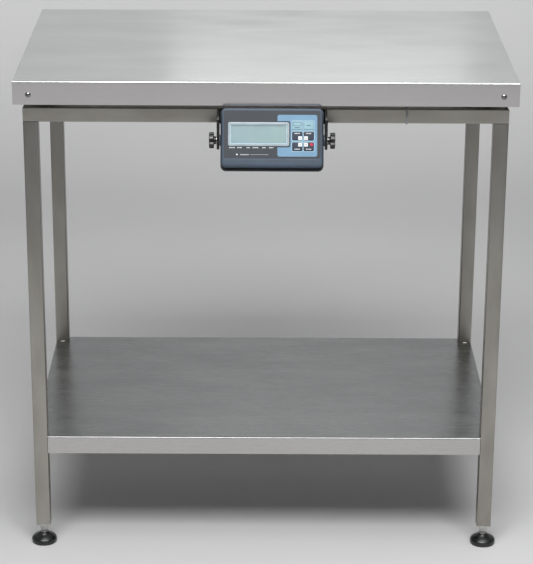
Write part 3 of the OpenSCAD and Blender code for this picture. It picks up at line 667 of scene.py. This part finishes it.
def cover_cuts(low, high):
    """What is cut out of the front cover, as outlines with a back and a front."""
    wall, past, depth, gap, key_gap = 2.5, 1, 6, 0.1, 0.3
    film_low, film_high = on_face("front_overlay")
    glass_low, glass_high = on_face("lcd_window")
    cuts = [([box_outline(low, high, 6.5, -wall)], low.z - past, high.z - wall),
            ([box_outline(film_low, film_high, 4, gap)], film_low.z, high.z + past),
            ([box_outline(glass_low, glass_high, 1.5, gap)], high.z - depth, high.z + past)]
    for i in range(1, 7):
        key_low, key_high = on_face(f"key_{i}")
        cuts.append(([box_outline(key_low, key_high, 2.3, key_gap)], high.z - depth, high.z + past))
    return cuts


def make_cover(m):
    """The front cover: a rounded shell with a pocket for the film, and openings for glass and keys."""
    low, high = on_face("front_cover")
    low.y += SEAM_STEP
    piece = scratch_object("front_cover_cut", cover_shell(low, high))
    tools = []
    for number, (outlines, back, front) in enumerate(cover_cuts(low, high)):
        name = f"cut_{number}"
        tools.append(scratch_object(name, plate(name, outlines, back, front, FACE)))
        cut = piece.modifiers.new(name, "BOOLEAN")
        cut.operation = "DIFFERENCE"
        cut.solver = "EXACT"
        cut.object = tools[-1]
    mesh = tidy_mesh(final_mesh(piece), 1e-5)
    for tool in tools:
        bpy.data.objects.remove(tool)
    cover = new_object("front_cover_moulded", mesh, m["case"], "display", 30)
    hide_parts("front_cover")


def make_strip_panels(m):
    """Two slightly raised panels on the plain strip below the film, with a gap between them."""
    low, high = on_face("front_cover")
    film_low = on_face("front_overlay")[0]
    margin, half_gap, split = 6.0, 1.2, 22.6
    bottom, top = low.y + SEAM_STEP + 4.5, film_low.y - 1.4
    back, front = high.z - 0.4, high.z + 0.16
    for name, x0, x1 in (("strip_panel_left", low.x + margin, split - half_gap),
                         ("strip_panel_right", split + half_gap, high.x - margin)):
        outline = box_outline((x0, bottom), (x1, top), 1.8)
        face_plate(name, [outline], back, front, m["case"], edge=0.12)


def make_seam(m):
    """The dark seam under the front cover, and the rear case's lip behind it."""
    low, high = on_face("front_cover")
    seam = on_face("rear_case")[1].z
    half, proud, inset = SEAM_STEP / 2, 0.7, 0.2
    lip_back, lip_front, band_front = seam - 6, seam - 1.6, seam + 0.5
    band = [box_outline((low.x - proud, low.y + half), (high.x + proud, high.y + proud), 9.5)]
    lip = [box_outline((low.x + inset, low.y - half), (high.x - inset, high.y), 9)]
    hollow = [box_outline(low, high, 6, -SEAM_STEP - 1)]
    face_plate("seam_band", band + hollow, lip_front, band_front, m["gasket"], edge=0.3)
    face_plate("rear_case_lip", lip + hollow, lip_back, lip_front, m["lip"], edge=0.5)


def make_glass_frame(m):
    """The raised frame round the display glass, and a thin line inside it."""
    low, high = on_face("lcd_bezel")
    inner_low, inner_high = on_face("lcd_window")
    outlines = [box_outline(low, high, 3.5), box_outline(inner_low, inner_high, 1.5, 0.1)]
    piece = face_plate("lcd_bezel_moulded", outlines, low.z, high.z, m["bezel"], edge=0.35)
    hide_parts("lcd_bezel")
    line = [box_outline(inner_low, inner_high, 1.2, -0.1), box_outline(inner_low, inner_high, 0.4, -1.6)]
    face_plate("glass_shadow_line", line, inner_high.z - 0.02, inner_high.z + 0.02,
               m["frame_print"])


def print_keypad_panel(m, keys, surface):
    """The keypad's light panel, which runs clear of the glass frame, with openings for the keys."""
    bezel_low, bezel_high = on_face("lcd_bezel")
    left, right = 10.4, keys[1][1].x + 6.8
    top, bottom = keys[0][1].y + 12.7, keys[4][0].y - 11.3
    gap, corner, sharp = 2.4, 4, 0.5
    notch_x = bezel_high.x + gap
    notch_top, notch_bottom = bezel_high.y + gap, bezel_low.y - gap
    panel = rounded([(left, bottom, corner), (right, bottom, corner), (right, top, corner),
                     (left, top, corner), (left, notch_top, sharp), (notch_x, notch_top, corner),
                     (notch_x, notch_bottom, corner), (left, notch_bottom, sharp)])
    holes = [box_outline(low, high, 2.4, 0.35) for low, high in keys]
    face_plate("keypad_panel_print", [panel] + holes, surface, surface + INK, m["panel"])


def print_status_marks(m, surface):
    """Plain dashes where the real film has words, a thin line, and the charge lamp's lens."""
    marks = []
    dash, step, drop = 1.5, 2.3, 0.35
    for start, letters in ((-84, 5), (-68, 4), (-50, 3), (-38, 5), (-19, 3), (-6, 4)):
        for k in range(letters):
            x = start + step * k
            marks.append(box_outline((x, -18.3 + drop * (k % 2)), (x + dash, -16.2), 0.3))
    for k in range(7):
        x = -62 + 2.4 * k
        marks.append(box_outline((x, -31.9), (x + dash, -30.2 - 0.3 * (k % 2)), 0.3))
    marks.append(box_outline((-43, -31.2), (-7, -30.8), 0.15))
    face_plate("status_marks_print", marks, surface, surface + INK, m["white_print"])
    lamp = FACE @ Matrix.Translation(MM * Vector((-69, -31, surface)))
    lens = lathe([(1.6, 0), (1.6, 0.3), (1.2, 0.6), (0.5, 0.75), (0.05, 0.78)], lamp, 24)
    lens_mesh = mesh_from("charge_lamp", lens)
    new_object("charge_lamp", lens_mesh, m["white_print"], "display")


def make_prints(m):
    """What is printed on the film: the keypad's panel, frames round the keys, and plain marks."""
    surface = on_face("front_overlay")[1].z
    keys = [on_face(f"key_{i}") for i in range(1, 7)]
    print_keypad_panel(m, keys, surface)
    for i, (low, high) in enumerate(keys, 1):
        ring = [box_outline(low, high, 3.2, 1.7), box_outline(low, high, 2.6, 0.9)]
        face_plate(f"key_frame_print_{i}", ring, surface + INK, surface + 2 * INK,
                   m["frame_print"])
    print_status_marks(m, surface)


def print_key_square(m, i, low, high):
    """A white square with a small triangle, in the corner of a key that faces its group's middle."""
    side, margin = 7.4, 0.5
    x = high.x - side - margin if i % 2 else low.x + margin
    y = low.y + margin if i in (3, 4) else high.y - side - margin
    square = box_outline((x, y), (x + side, y + side), 0.6)
    triangle = rounded([(x + 2.4, y + 2.6, 0.1), (x + 5.0, y + 2.6, 0.1), (x + 3.7, y + 4.9, 0.1)])
    face_plate(f"key_{i}_square", [square, triangle], high.z, high.z + INK,
               m["white_print"], f"key_{i}")


def print_key_dashes(m, i, low, high, dark):
    """A short row of dashes where the real key has a word."""
    middle = (low + high) / 2
    if dark:
        row = high.y - 4.2 if i in (3, 4) else low.y + 2.2
    else:
        row = low.y + 3.0 if i == 1 else middle.y - 1
    bars = 3 if i == 2 else 4
    dash, step, tall = 1.7, 2.7, 2.0
    first = middle.x - 1.3 * bars
    dashes = [box_outline((first + step * k, row), (first + step * k + dash, row + tall), 0.3)
              for k in range(bars)]
    face_plate(f"key_{i}_dashes", dashes, high.z, high.z + INK,
               m["white_print" if dark else "key_dark"], f"key_{i}")


def make_keys(m):
    """Domed caps for the keys, each with its plain marks, and a red spot on the last."""
    for i in range(1, 7):
        low, high = on_face(f"key_{i}")
        body, dark = f"key_{i}", i > 2
        look = "key_dark" if dark else "key_light"
        outline = box_outline(low, high, 2)
        cap = face_plate(f"key_{i}_cap", [outline], low.z, high.z, m[look], body, edge=0.35)
        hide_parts(f"key_{i}")
        top = high.z
        if dark:
            print_key_square(m, i, low, high)
        print_key_dashes(m, i, low, high, dark)
        if i == 1:
            label = [box_outline((low.x + 2, high.y - 9), (high.x - 2, high.y - 2), 1),
                     box_outline((low.x + 2.6, high.y - 8.4), (high.x - 2.6, high.y - 2.6), 0.6)]
            face_plate("key_1_label", label, top, top + INK, m["key_dark"], body)
        if i == 6:
            spot = [circle_outline(high.x - 4.2, high.y - 3.9, 3.3)]
            face_plate("key_6_spot", spot, top, top + INK, m["red_print"], body)


def make_back(m):
    """The rear case with softened edges, a battery door, a blank rating plate and cooling ribs."""
    softened("rear_case", 1.0, m["rear"])
    back = on_face("rear_case")[0].z
    door = [box_outline((-32, 0), (62, 36), 3)]
    face_plate("battery_door", door, back - 1.0, back + 0.6, m["rear"], edge=0.5)
    latch = [box_outline((8, 31), (22, 34), 1.4)]
    face_plate("battery_door_latch", latch, back - 1.7, back - 0.5, m["black"], edge=0.3)
    rating = [box_outline((24, -38), (64, -14), 1.5)]
    face_plate("rating_plate", rating, back - 0.3, back + 0.1, m["bezel"], edge=0.05)
    for k in range(5):
        x = -58 + 5 * k
        rib = [box_outline((x, 4), (x + 1.6, 34), 0.8)]
        face_plate(f"rear_rib_{k + 1}", rib, back - 1.2, back + 0.4, m["rear"], edge=0.4)


# ------------------------------------------------------------------ knobs, feet, leads and welds

def knob_ring(height, radius, lobes, depth, place, sides=96):
    """One ring of a lobed knob: depth is how far its hollows go in."""
    ring = []
    for i in range(sides):
        a = 2 * math.pi * i / sides
        hollow = max(0.0, -math.cos(lobes * a)) ** 1.6
        r = radius - depth * hollow
        ring.append(place @ (MM * Vector((r * math.cos(a), r * math.sin(a), height))))
    return ring


def knob_grip(hub, outer, radius, place):
    """A lobed knob's skin from its hub to its face, with both rims rounded."""
    rim, lobes, depth, edge, arc = 9.5, 6, 3.6, 1.5, 4
    rings = [knob_ring(hub, 7.2, lobes, 0, place), knob_ring(hub + 0.4, 7.8, lobes, 0, place),
             knob_ring(outer - rim - 0.6, 8.0, lobes, 0, place)]
    for i in range(arc + 1):
        a = math.radians(90 * i / arc)
        height = outer - rim + edge * (1 - math.cos(a))
        rings.append(knob_ring(height, radius - edge * (1 - math.sin(a)), lobes,
                               depth * math.sin(a) * 0.5 + depth * 0.5, place))
    for i in range(1, arc + 1):
        a = math.radians(90 * i / arc)
        height = outer - edge * (1 - math.sin(a))
        rings.append(knob_ring(height, radius - edge * (1 - math.cos(a)), lobes,
                               depth * (1 - 0.2 * i / arc), place))
    rings += [knob_ring(outer, 8.0, lobes, 0, place), knob_ring(outer - 0.9, 7.4, lobes, 0, place)]
    return loft(rings)


def make_knob(side, m):
    """A lobed clamp knob with a rounded rim and a plain cap, on a threaded steel stud."""
    node = f"knob_{side}"
    sign = -1 if side == "left" else 1
    near, far = (1, 0) if side == "left" else (0, 1)
    box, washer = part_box(node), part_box(f"clamp_washer_{side}")
    place = Matrix.Translation(AXIS) @ Matrix.Rotation(math.radians(90 * sign), 4, "Y")
    inner = abs(box[near].x - AXIS.x) / MM
    outer = abs(box[far].x - AXIS.x) / MM
    hub = abs(washer[far].x - AXIS.x) / MM + 0.15
    radius = (box[1].z - box[0].z) / MM / 2 - 0.1
    skin = mesh_from(node, knob_grip(hub, outer, radius, place))
    grip = new_object(f"{node}_grip", skin, m["knob"], node, 32)
    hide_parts(node)
    cap = lathe([(7.2, outer - 1.0), (7.2, outer - 0.5), (6.6, outer - 0.15), (0.3, outer - 0.1)],
                place, 40)
    new_object(f"{node}_cap", mesh_from("cap", cap), m["black"], node)
    stud = thread(3.0, 1.0, inner, hub, place)
    new_object(f"{node}_stud", mesh_from("stud", stud), m["bright"], node)


def bell_profile(radius, waist):
    """A foot pad's outline from the floor to its waist, as (radius, height)."""
    bell = [(radius - 3.0, 0.0), (radius - 1.2, 0.3), (radius - 0.4, 1.2), (radius - 0.1, 3.0),
            (radius, 6.5)]
    bell += curve_through(bell[-1], (radius, 10.4), (radius - 2.2, 12.2), (radius - 7.0, 15.2), 9)
    bell += curve_through(bell[-1], (radius - 11.5, 17.6), (10.2, 19.4), (9.2, waist - 0.6), 9)
    return bell + [(8.7, waist - 0.1), (8.0, waist), (6.6, waist)]


def foot_stem(waist, top, end, place):
    """A foot's steel stem: collar, tapered neck, chamfered hexagon and M10 thread."""
    hexagon_low = top - 7.0
    collar = lathe([(6.4, waist - 0.2), (8.1, waist + 0.1), (8.4, waist + 0.7), (8.1, waist + 1.7),
                    (7.3, waist + 2.1)], place, 48)
    neck = lathe([(6.5, waist), (7.3, waist + 2.0), (8.9, hexagon_low - 0.4), (8.9, hexagon_low)],
                 place, 48)
    hexagon = lathe([(9.0, hexagon_low), (10.6, hexagon_low + 0.6), (10.6, top - 0.6), (9.2, top)],
                    place, 6)
    rod = thread(4.95, 1.5, top, end, place)
    return mesh_from("stem", collar, neck, hexagon, rod)


def make_foot(corner, m):
    """A levelling foot: a steel stem in a bell-shaped rubber pad."""
    body = "foot_" + corner
    pad_low, pad_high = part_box("foot_pad_" + corner)
    stem_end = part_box("foot_stem_" + corner)[1].z / MM
    leg_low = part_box("leg_inserts")[0].z / MM
    place = Matrix.Translation(((pad_low.x + pad_high.x) / 2, (pad_low.y + pad_high.y) / 2, 0))
    radius = (pad_high.x - pad_low.x) / MM / 2
    waist = pad_high.z / MM - 4.5
    bell = mesh_from(body, lathe(bell_profile(radius, waist), place, 72))
    pad = new_object(f"{body}_bell", bell, m["pad"], body, 50)
    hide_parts("foot_pad_" + corner)
    mesh = foot_stem(waist, leg_low - 0.3, stem_end, place)
    stem = new_object(f"{body}_stem", mesh, m["bright"], body, 30)
    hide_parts("foot_stem_" + corner)


def rounded_lead(node):
    """A lead's swept tube, rounded by subdivision."""
    shape = scratch_object(node + "_shape", tidy_mesh(frame["nodes"][node].data.copy(), 2e-6))
    shape.modifiers.new("round", "SUBSURF").levels = 1
    return tidy_mesh(final_mesh(shape))


def make_leads(m):
    """Round jackets for the leads, and one for the loop under the front rail."""
    for node in ("cell_leads", "display_lead"):
        piece = new_object(node + "_jacket", rounded_lead(node), m["lead"], "table", 70)
        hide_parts(node)
    mesh = rounded_lead("lead_loop")
    mesh.materials.clear()
    mesh.materials.append(m["lead"])
    mesh.shade_smooth()
    loop = scratch_object("lead_loop_jacket", mesh)
    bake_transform(loop)
    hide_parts("lead_loop")


def bead(start, end, a, b, size=2.2):
    """A rippled weld fillet along a corner from start to end; a and b run along the two plates."""
    start, end = Vector(start), Vector(end)
    length = (end - start).length
    ripple, steps = 1.6 * MM, max(8, int(length / (0.5 * MM)))
    inside, bulge, hollow = 0.2 * MM, 0.72, 0.34
    rings = []
    for k in range(steps + 1):
        t = k / steps
        s = size * MM * (1 + 0.10 * math.cos(2 * math.pi * length * t / ripple))
        s *= min(1.0, 0.35 + 8 * min(t, 1 - t))
        here = start.lerp(end, t)
        rings.append([here - inside * (a + b),
                      here + a * s - inside * b,
                      here + bulge * s * a + hollow * s * b,
                      here + hollow * s * a + bulge * s * b,
                      here + b * s - inside * a])
    return loft(rings)


def corner_beads(corner, shelf_low, shelf_top):
    """The beads on one leg: two under the rails, two tacks on the shelf and one beside it."""
    low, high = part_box("leg_" + corner)
    sx = -1 if "left" in corner else 1
    sy = -1 if "front" in corner else 1
    inner_x = low.x if sx > 0 else high.x
    inner_y = low.y if sy > 0 else high.y
    outer_y = high.y if sy > 0 else low.y
    in_x, in_y = Vector((-sx, 0, 0)), Vector((0, -sy, 0))
    up, down = Vector((0, 0, 1)), Vector((0, 0, -1))
    margin, tack, tack_size = 2.5 * MM, 6 * MM, 1.8
    x0, x1, y0, y1 = low.x + margin, high.x - margin, low.y + margin, high.y - margin
    x, y, beside = (x0 + x1) / 2, (y0 + y1) / 2, outer_y - sy * 2.2 * MM
    z0, z1 = shelf_low + 4 * MM, shelf_low + 14 * MM
    return [bead((inner_x, y0, high.z), (inner_x, y1, high.z), in_x, down),
            bead((x0, inner_y, high.z), (x1, inner_y, high.z), in_y, down),
            bead((inner_x, y - tack, shelf_top), (inner_x, y + tack, shelf_top), in_x, up, tack_size),
            bead((x - tack, inner_y, shelf_top), (x + tack, inner_y, shelf_top), in_y, up, tack_size),
            bead((inner_x, beside, z0), (inner_x, beside, z1), in_x, in_y, 1.5)]


def make_welds(m):
    """Fillets where the legs meet the rails, and short tacks where the shelf meets the legs."""
    shelf_low, shelf_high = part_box("shelf_pan")
    skins = []
    for corner in FEET:
        skins += corner_beads(corner, shelf_low.z, shelf_high.z)
    new_object("frame_welds", mesh_from("frame_welds", *skins), m["weld"], "table", 40)


def make_box_screws(m):
    """Four dome-headed screws in the junction box's lid."""
    low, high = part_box("junction_lid")
    inset, radius, skins = 6.0 * MM, 2.6, []
    for x in (low.x + inset, high.x - inset):
        for y in (low.y + inset, high.y - inset):
            place = Matrix.Translation((x, y, high.z))
            skins.append(lathe([(radius, -0.4), (radius, 0.6), (radius - 0.6, 1.2), (0.2, 1.5)], place, 24))
    mesh = mesh_from("junction_lid_screws", *skins)
    new_object("junction_lid_screws", mesh, m["bright"], "table")


def soften_plain_nodes(m):
    """Small broken edges on the moulded and cut pieces that CAD leaves sharp."""
    softened("display_bracket", 0.7, m["bracket"])
    softened("junction_box", 1.2, m["box"])
    softened("junction_lid", 0.9, m["box"])
    softened("cable_tie", 0.35, m["tie"])
    softened("pivot_washers", 0.5, m["washer"])
    softened("cell_brackets", 0.5, m["tube_y"])
    softened("corner_plates", 0.5, m["tube_y"])


# ------------------------------------------------------------------ whole

bpy.context.scene.view_settings.view_transform = "Standard"
make_camera()
make_studio()
make_lights()
materials = make_materials()
dress_nodes(materials)
make_cover(materials)
make_strip_panels(materials)
make_seam(materials)
make_glass_frame(materials)
make_prints(materials)
make_keys(materials)
make_back(materials)
for side in ("left", "right"):
    make_knob(side, materials)
for foot in FEET:
    make_foot(foot, materials)
make_leads(materials)
make_welds(materials)
make_box_screws(materials)
soften_plain_nodes(materials)
